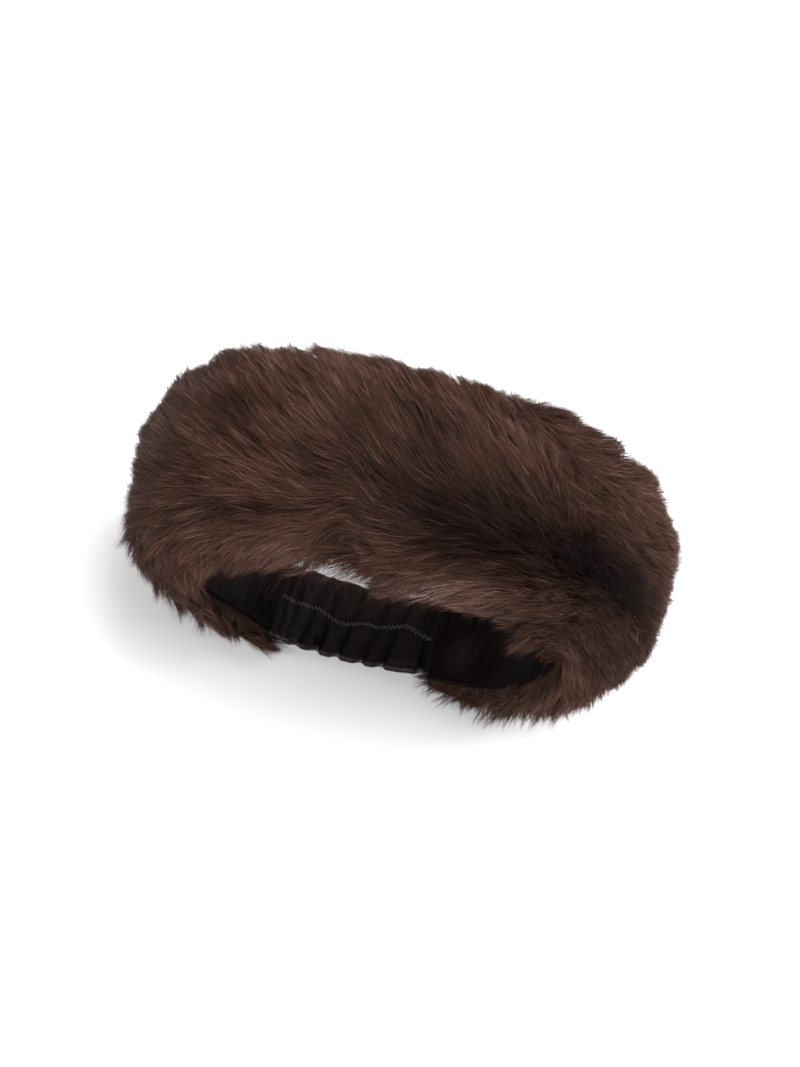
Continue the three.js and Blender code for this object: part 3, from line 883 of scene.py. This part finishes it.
hair = Finish("long_hair")
chart = hair.node("UVMap", uv_map="OFBake")
split = hair.node("SeparateXYZ")
hair.link(chart.outputs["UV"], split.inputs[0])
# A hair's colour: its tone picks a dye from dark to pale, and so carries the painted light and shade laid on
# the tone. Along its length the root is painted dim, painted shade for the shade down in the fur, and the
# tip a little paler and redder.
dye = hair.ramp(
    split.outputs[0],
    (0.0, hue(14, 8, 8)),
    (0.25, hue(32, 20, 18)),
    (0.5, hue(63, 41, 31)),
    (0.75, hue(92, 66, 57)),
    (1.0, hue(140, 112, 104)),
)
root_painted_shade_to_tip = hair.ramp(
    split.outputs[1],
    (0.0, (0.4, 0.38, 0.4)),
    (0.45, (0.75, 0.75, 0.75)),
    (0.85, (1, 1, 1)),
    (1.0, (1.25, 1.1, 1.06)),
)
tinted = hair.node("Mix", data_type="RGBA", blend_type="MULTIPLY")
tinted.inputs[0].default_value = 1
hair.link(dye, tinted.inputs[6])
hair.link(root_painted_shade_to_tip, tinted.inputs[7])
hair.colour(tinted.outputs[2])
gloss = hair.node("TexNoise", Scale=60, Detail=1)
hair.link(chart.outputs["UV"], gloss.inputs["Vector"])
spread = hair.node("MapRange")
spread.inputs[3].default_value, spread.inputs[4].default_value = 0.42, 0.68
hair.link(gloss.outputs["Fac"], spread.inputs[0])
hair.link(spread.outputs[0], hair.shader.inputs["Roughness"])
hair.set(Specular_IOR_Level=0.05)

for k, name in enumerate(ZONES):
    those = slice(k * hairs // len(ZONES), (k + 1) * hairs // len(ZONES))
    rows = (v[those] for v in (middle, outward, hair_width, tone, first))
    piece = hair_piece(name, *rows, rng)
    piece.data.materials.append(hair.material)
    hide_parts("shearling_band")
    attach(piece, "root")

# ---- The lining ----
# Dark satin, one long piece stitched to the leather's flesh side, with its edges turned over
# into a thin roll. It puckers a little where the stitches draw it in along the edges.
LINING = dict(round=300, across=30, roll=1.7, proud=0.7, pucker=0.55, pucker_width=9, sag=0.8)
LINING.update(gather=2.2, fold=6.5, runs_on=13, slant=0.3, least=-0.8, most=1.8, tucked=5)
LINING.update(spacing=0.6, ripple_cells=1.6, sag_cells=9)
# Near its right end the satin stands off the leather in one soft bulge, its colour painted paler
# there: a painted highlight.
BULGE = dict(angle=-55, y=-11, round_it=5.5, over_it=9, proud=1.2)
LINING_MM_PER_DEGREE = 1.3  # along the leather's flesh side

round_it = np.linspace(LEFT_END, RIGHT_END, LINING["round"])[:, None]
skin_near, skin_far = section("skin_near", round_it), section("skin_far", round_it)
over_it = eased(np.linspace(-1, 1, LINING["across"])[None, :], LINING["spacing"])
y = np.where(over_it < 0, over_it * skin_near, over_it * skin_far)
from_edge = np.where(over_it < 0, y + skin_near, skin_far - y)
ripple = lumpy((LINING["round"], 1), LINING["ripple_cells"], np.random.default_rng(5))
fold = lumpy((LINING["round"], LINING["across"]), LINING["sag_cells"], np.random.default_rng(6))
at_edge = bell(from_edge, 0, LINING["pucker_width"])
half_roll = LINING["roll"] / 2
roll = np.sqrt(np.maximum(0, 1 - ((from_edge - half_roll) / half_roll) ** 2))
# The casing's gathers run on into it for a little way at both ends.
from_end = np.minimum(LEFT_END - round_it, round_it - RIGHT_END) * LINING_MM_PER_DEGREE
slanted = (from_end - LINING["slant"] * y * np.sign(90 - round_it)) / LINING["fold"]
gather = np.cos(2 * np.pi * (slanted + 0.4 * ripple)) * smooth(from_end, 0, 3)
gather = gather * np.exp(-from_end / LINING["runs_on"])
inward = LINING["proud"] * roll + LINING["pucker"] * ripple * at_edge + LINING["sag"] * fold
inward = inward + LINING["gather"] * gather * (1 - at_edge)
inward = np.clip(inward, LINING["least"], LINING["most"]) * smooth(from_end, 0, LINING["tucked"])
bulge = np.exp(
    -(((round_it - BULGE["angle"]) / BULGE["round_it"]) ** 2)
    - ((y - BULGE["y"]) / BULGE["over_it"]) ** 2
)
inward = inward + BULGE["proud"] * bulge
inner = band_point(round_it, y, -inward)
outer = band_point(round_it, y[:, ::-1], LINING_WALL)
lining = swept("satin_lining", np.concatenate([inner, outer], 1))


def mark(piece, name, inner_face):
    """Stores a value for each place of a piece's inner face, and for the outer face behind it."""
    both = np.concatenate([inner_face, inner_face[:, ::-1]], 1).ravel()
    values = np.zeros(len(piece.data.vertices), np.float32)
    values[: both.size] = both
    piece.data.attributes.new(name, "FLOAT", "POINT").data.foreach_set("value", values)


# The bulge is marked for the satin's painted highlight.
mark(lining, "satin_painted_shading", bulge)

# The lining's colour clouds at random between two near-black colours, and on the bulge it is painted paler,
# a painted highlight.
SATIN_DARK, SATIN_LIT, SATIN_PAINTED_HIGHLIGHT = hue(6, 4, 4), hue(17, 11, 10), hue(44, 36, 38)
satin = Finish("purple_brown_satin")
cloudy = satin.noise(28, 3)
satin_tone_and_painted_shading = satin.node("Mix", data_type="RGBA")
satin.link(satin.marked("satin_painted_shading"), satin_tone_and_painted_shading.inputs[0])
satin.link(satin.ramp(cloudy, (0.3, SATIN_DARK), (0.7, SATIN_LIT)), satin_tone_and_painted_shading.inputs[6])
satin.link(satin.ramp(cloudy, (0.3, SATIN_PAINTED_HIGHLIGHT), (0.8, SATIN_LIT)), satin_tone_and_painted_shading.inputs[7])
satin.colour(satin_tone_and_painted_shading.outputs[2])
satin.set(Roughness=0.4, Specular_IOR_Level=0.02)


def woven(finish, threads, strength):
    """A satin's fine ribs, threads to the metre, as bump."""
    where = finish.node("TexCoord")
    ribs = finish.node("TexWave", Scale=threads, Distortion=1.5, Detail=2, bands_direction="Y")
    finish.link(where.outputs["Object"], ribs.inputs["Vector"])
    slub = finish.noise(threads / 2, 2)
    finish.bump(finish.mix(ribs.outputs["Fac"], slub), strength, 0.0002)


woven(satin, 900, 0.5)
lining.data.materials.append(satin.material)
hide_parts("lining")
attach(lining, "root")

# ---- The gathered casing ----
# A doubled strip of black satin with a wide elastic inside it. The elastic draws the satin up
# into folds that run across the band, and the edges into small scallops with a glossy roll.
CASING = dict(near=22.3, far=22, middle=1.4, crease_half=0.6, puff_half=2.9, scallop=1.7)
CASING.update(slant=0.05, tucked=0.3, thinnest=0.45, thickest=3.3, edge_roll=1.6)
FOLD_WIDTHS = (4, 5, 9.5, 9, 12, 14, 11, 12, 5, 4)
FOLD_FULLNESS = {
    "across": (-1, -0.86, -0.45, 0, 0.45, 0.86, 1),
    "full": (0, 0.88, 1, 0.6, 1, 0.75, 0),
}
CASING_FROM, CASING_TO = LEFT_END - 0.5, RIGHT_END + 360 + 0.5
CREASE_SLOPES = (2.6, 5.5)  # how wide each side of a crease is
CREASE = dict(slant=0.022, bend=0.009, shallowest=0.15, slopes=(0.08, 0.6))
NARROW_FOLD = dict(width=10, fullness=0.75)  # folds narrower than that are less full
EDGE_ROLL, DIP = (0.75, 1.1, 0.8), (0.35, 2.9, 0.9)  # how high, how far in, and half the width
WRINKLES = dict(height=0.5, cells=9)
CASING_MESH = dict(round=300, across=45, closer=0.8)

edges = np.concatenate([[0], np.cumsum(FOLD_WIDTHS)]) / sum(FOLD_WIDTHS)
rng = np.random.default_rng(23)
wander = rng.uniform(-1, 1, (len(edges), 3))
wander[[0, -1]] = 0
CREASES, RUNS_OUT = rng.uniform(0.35, 0.95, len(edges)), rng.uniform(-0.6, 0.6, len(edges))


def casing_angle(along):
    return CASING_FROM + (CASING_TO - CASING_FROM) * along


def fold_edges(across):
    """Where each crease runs at a place across the casing: it slants and wanders."""
    across = np.asarray(across, float)[..., None]
    slant = (CREASE["slant"] * wander[:, 0] + CASING["slant"]) * across
    slant = slant + CREASE["bend"] * wander[:, 1] * np.sin(3 * across)
    return edges + slant * np.minimum(1, 5 * np.minimum(edges, 1 - edges))


def casing_swell(along, across):
    """How full the satin stands at a place, as half the casing's thickness, and the puff."""
    bounds = fold_edges(across)
    along, bounds = np.broadcast_arrays(along[..., None], bounds)
    k = np.clip((along >= bounds).sum(-1) - 1, 0, len(FOLD_WIDTHS) - 1)
    low = np.take_along_axis(bounds, k[..., None], -1)[..., 0]
    high = np.take_along_axis(bounds, k[..., None] + 1, -1)[..., 0]
    share = np.clip((along[..., 0] - low) / (high - low), 0, 1)
    width = np.array(FOLD_WIDTHS)[k]
    # A fold rises steeply out of one crease, is flat on top and falls slowly to the next. Each
    # crease is deep at one place across the casing and runs out towards another.
    depths = [np.clip(CREASES[n] + RUNS_OUT[n] * across, CREASE["shallowest"], 1) for n in (k, k + 1)]
    steep, slow = (np.clip(slope / width, *CREASE["slopes"]) for slope in CREASE_SLOPES)
    puff = 1 - depths[0] * (1 - smooth(share, 0, steep)) - depths[1] * (1 - smooth(1 - share, 0, slow))
    least = NARROW_FOLD["fullness"]
    puff = puff * (least + (1 - least) * np.minimum(width / NARROW_FOLD["width"], 1))
    full = column(FOLD_FULLNESS, "across", "full", across)
    swell = CASING["crease_half"] + (CASING["puff_half"] - CASING["crease_half"]) * puff * full
    return swell, puff, scatter(k + 40)


along = np.linspace(0, 1, CASING_MESH["round"])[:, None]
across = eased(np.linspace(-1, 1, CASING_MESH["across"])[None, :], CASING_MESH["closer"])
along, across = np.broadcast_arrays(along, across)
swell, puff, of_fold = casing_swell(along, across)
half = np.where(across < 0, CASING["near"], CASING["far"])
mm_in = half * (1 - np.abs(across))
hem = EDGE_ROLL[0] * bell(mm_in, *EDGE_ROLL[1:]) - DIP[0] * bell(mm_in, *DIP[1:])
fine_folds = lumpy(swell.shape, WRINKLES["cells"], rng) * WRINKLES["height"]
SEAM = dict(depth=0.75, half_width=1.1, wave=1.9)


def seam_line(along):
    """How far the row of stitches wanders from the casing's middle, in millimetres."""
    return SEAM["wave"] * (np.sin(9.5 * along + 0.6) + 0.6 * np.sin(23 * along + 2))


groove = SEAM["depth"] * bell(across * half, seam_line(along), SEAM["half_width"])
# At its ends the casing is tucked in under the lining.
quiet = smooth(np.minimum(along, 1 - along), 0, 0.08)
inner_swell = swell + hem + fine_folds - groove * puff
inner_swell = CASING["middle"] + (inner_swell - CASING["middle"]) * quiet
limits = CASING["thinnest"], CASING["thickest"]
inner_swell = np.clip(inner_swell - CASING["tucked"] * (1 - quiet), *limits)
outer_swell = np.clip(swell + hem * quiet, *limits)
edge_in = half - CASING["scallop"] * (1 - puff)
angle = casing_angle(along)
inner = band_point(angle, across * edge_in, CASING["middle"] - inner_swell)
outer = band_point(angle, across * edge_in, CASING["middle"] + outer_swell)
casing = swept("gathered_casing", np.concatenate([inner, outer[:, ::-1]], 1))
# The satin's colour is painted paler on top of the folds and dimmer in the creases, painted light
# and painted shade, and its edge roll is glossy.
glossy = bell(mm_in, 0, CASING["edge_roll"]) * (1.2 - puff) * (0.4 + 0.8 * of_fold)
mark(casing, "satin_painted_shading", puff * (0.7 + 0.3 * of_fold))
mark(casing, "rolled", glossy)

black = Finish("black_satin")
# Its colour clouds at random and follows the painted light on the folds' tops and the painted shade in the
# creases.
satin_tone_and_painted_shading = black.mix(black.noise(45, 3), black.marked("satin_painted_shading"), 0.6)
black.colour(black.ramp(satin_tone_and_painted_shading, (0.15, hue(7, 5, 5)), (0.85, hue(25, 19, 18))))
black.link(black.marked("rolled"), black.shader.inputs["Coat Weight"])
black.set(Roughness=0.3, Specular_IOR_Level=0.045, Coat_Roughness=0.22)
woven(black, 1100, 0.45)
casing.data.materials.append(black.material)
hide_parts("elastic_back")
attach(casing, "root")

# ---- The casing's stitches ----
# A zigzag in grey thread along the middle of the casing, sewn through the satin and the
# elastic while it was stretched, so that it winds up and down over the folds.
ZIGZAG = dict(legs=72, half_width=1.75, thread=0.075, sides=5, steps=4, proud=0.11, sunk=0.2)
ZIGZAG.update(ends=(0.03, 0.97), of_leg=(0.13, 0.87))  # along the casing, and of each leg


def casing_inner(along, y):
    """A point on the casing's inner face."""
    across = y / np.where(y < 0, CASING["near"], CASING["far"])
    evenly = eased(across, 1 / CASING_MESH["closer"])
    place = (along * (CASING_MESH["round"] - 1), (evenly + 1) / 2 * (CASING_MESH["across"] - 1))
    outward = CASING["middle"] - cell(inner_swell, np.stack(place, -1)) - ZIGZAG["proud"]
    return band_point(casing_angle(along), y, outward)


legs = np.arange(ZIGZAG["legs"])
ends = np.linspace(*ZIGZAG["ends"], ZIGZAG["legs"] + 1)
share = np.linspace(*ZIGZAG["of_leg"], ZIGZAG["steps"])[None, :]
leg_along = ends[:-1, None] + (ends[1:] - ends[:-1])[:, None] * share
swing = np.where(legs % 2, -1, 1)[:, None] * (2 * share - 1) * ZIGZAG["half_width"]
leg_points = casing_inner(leg_along, seam_line(leg_along) + swing)
leg_points[:, [0, -1], 2] -= ZIGZAG["sunk"]  # each end goes down into its needle hole
line = unit(np.gradient(leg_points, axis=1))
side = unit(np.cross(line, np.array((0.0, 0.0, 1.0))))
top = np.cross(side, line)
around, steps = ZIGZAG["sides"], ZIGZAG["steps"]
k = np.arange(around)
turn = (k * 2 * np.pi / around)[:, None]
rings = np.cos(turn) * side[:, :, None] + np.sin(turn) * top[:, :, None]
rings = leg_points[:, :, None] + ZIGZAG["thread"] * rings
start = (legs * steps * around)[:, None, None, None]
ring = (np.arange(steps - 1) * around)[None, :, None, None]
quads = np.stack([k, (k + 1) % around, (k + 1) % around + around, k + around], -1)
quads = (start + ring + quads).reshape(-1, 4)
rings = rings.reshape(-1, 3).astype(np.float32)
stitches = mesh_object("zigzag_stitches", rings, quads, np.full(len(quads), 4))
work = bmesh.new()
work.from_mesh(stitches.data)
bmesh.ops.holes_fill(work, edges=[e for e in work.edges if e.is_boundary], sides=around)
bmesh.ops.recalc_face_normals(work, faces=work.faces)
work.to_mesh(stitches.data)
work.free()
thread = Finish("grey_thread")
strands = thread.noise(1500, 2)
thread.colour(thread.ramp(strands, (0.3, hue(90, 85, 83)), (0.7, hue(142, 135, 132))))
thread.bump(strands, 0.5, 0.0001)
thread.set(Roughness=0.6)
stitches.data.materials.append(thread.material)
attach(stitches, "root")

# ---- The studio ----
# A plain pale floor, with soft light from three wide panels: one overhead, one at the right and
# one in front, and an even sky.
FLOOR_SIZE = 30
PALE, PALER = (0.93, 0.93, 0.93), (0.96, 0.96, 0.96)
bpy.ops.mesh.primitive_plane_add(size=FLOOR_SIZE)
floor = bpy.context.object
floor.name = "floor"
pale = Finish("pale_floor")
speck = pale.node("TexNoise", Scale=3, Detail=2)
pale.colour(pale.ramp(speck.outputs["Fac"], (0, PALE), (1, PALER)))
pale.set(Roughness=0.9, Specular_IOR_Level=0.1)
floor.data.materials.append(pale.material)

LIT_PLACE = Vector((0, 0, 0.08))
SKY = 0.55
LIGHTS = (
    dict(name="overhead", place=(0.3, 0.1, 1.7), size=1.2, watts=32),
    dict(name="right", place=(1.3, 0.6, 0.8), size=0.8, watts=16),
    dict(name="front", place=(-0.4, -1.5, 0.8), size=1.8, watts=27),
)
for light in LIGHTS:
    data = bpy.data.lights.new(light["name"], "AREA")
    data.size, data.energy = light["size"], light["watts"]
    lamp = bpy.data.objects.new(light["name"], data)
    lamp.location = light["place"]
    lamp.visible_camera = False
    lamp.rotation_euler = (LIT_PLACE - lamp.location).to_track_quat("-Z", "Y").to_euler()
    bpy.context.scene.collection.objects.link(lamp)
world = bpy.data.worlds.new("studio")
world.use_nodes = True
sky = world.node_tree.nodes["Background"]
sky.inputs["Color"].default_value = (1, 1, 1, 1)
sky.inputs["Strength"].default_value = SKY
bpy.context.scene.world = world
bpy.context.scene.view_settings.view_transform = "Standard"
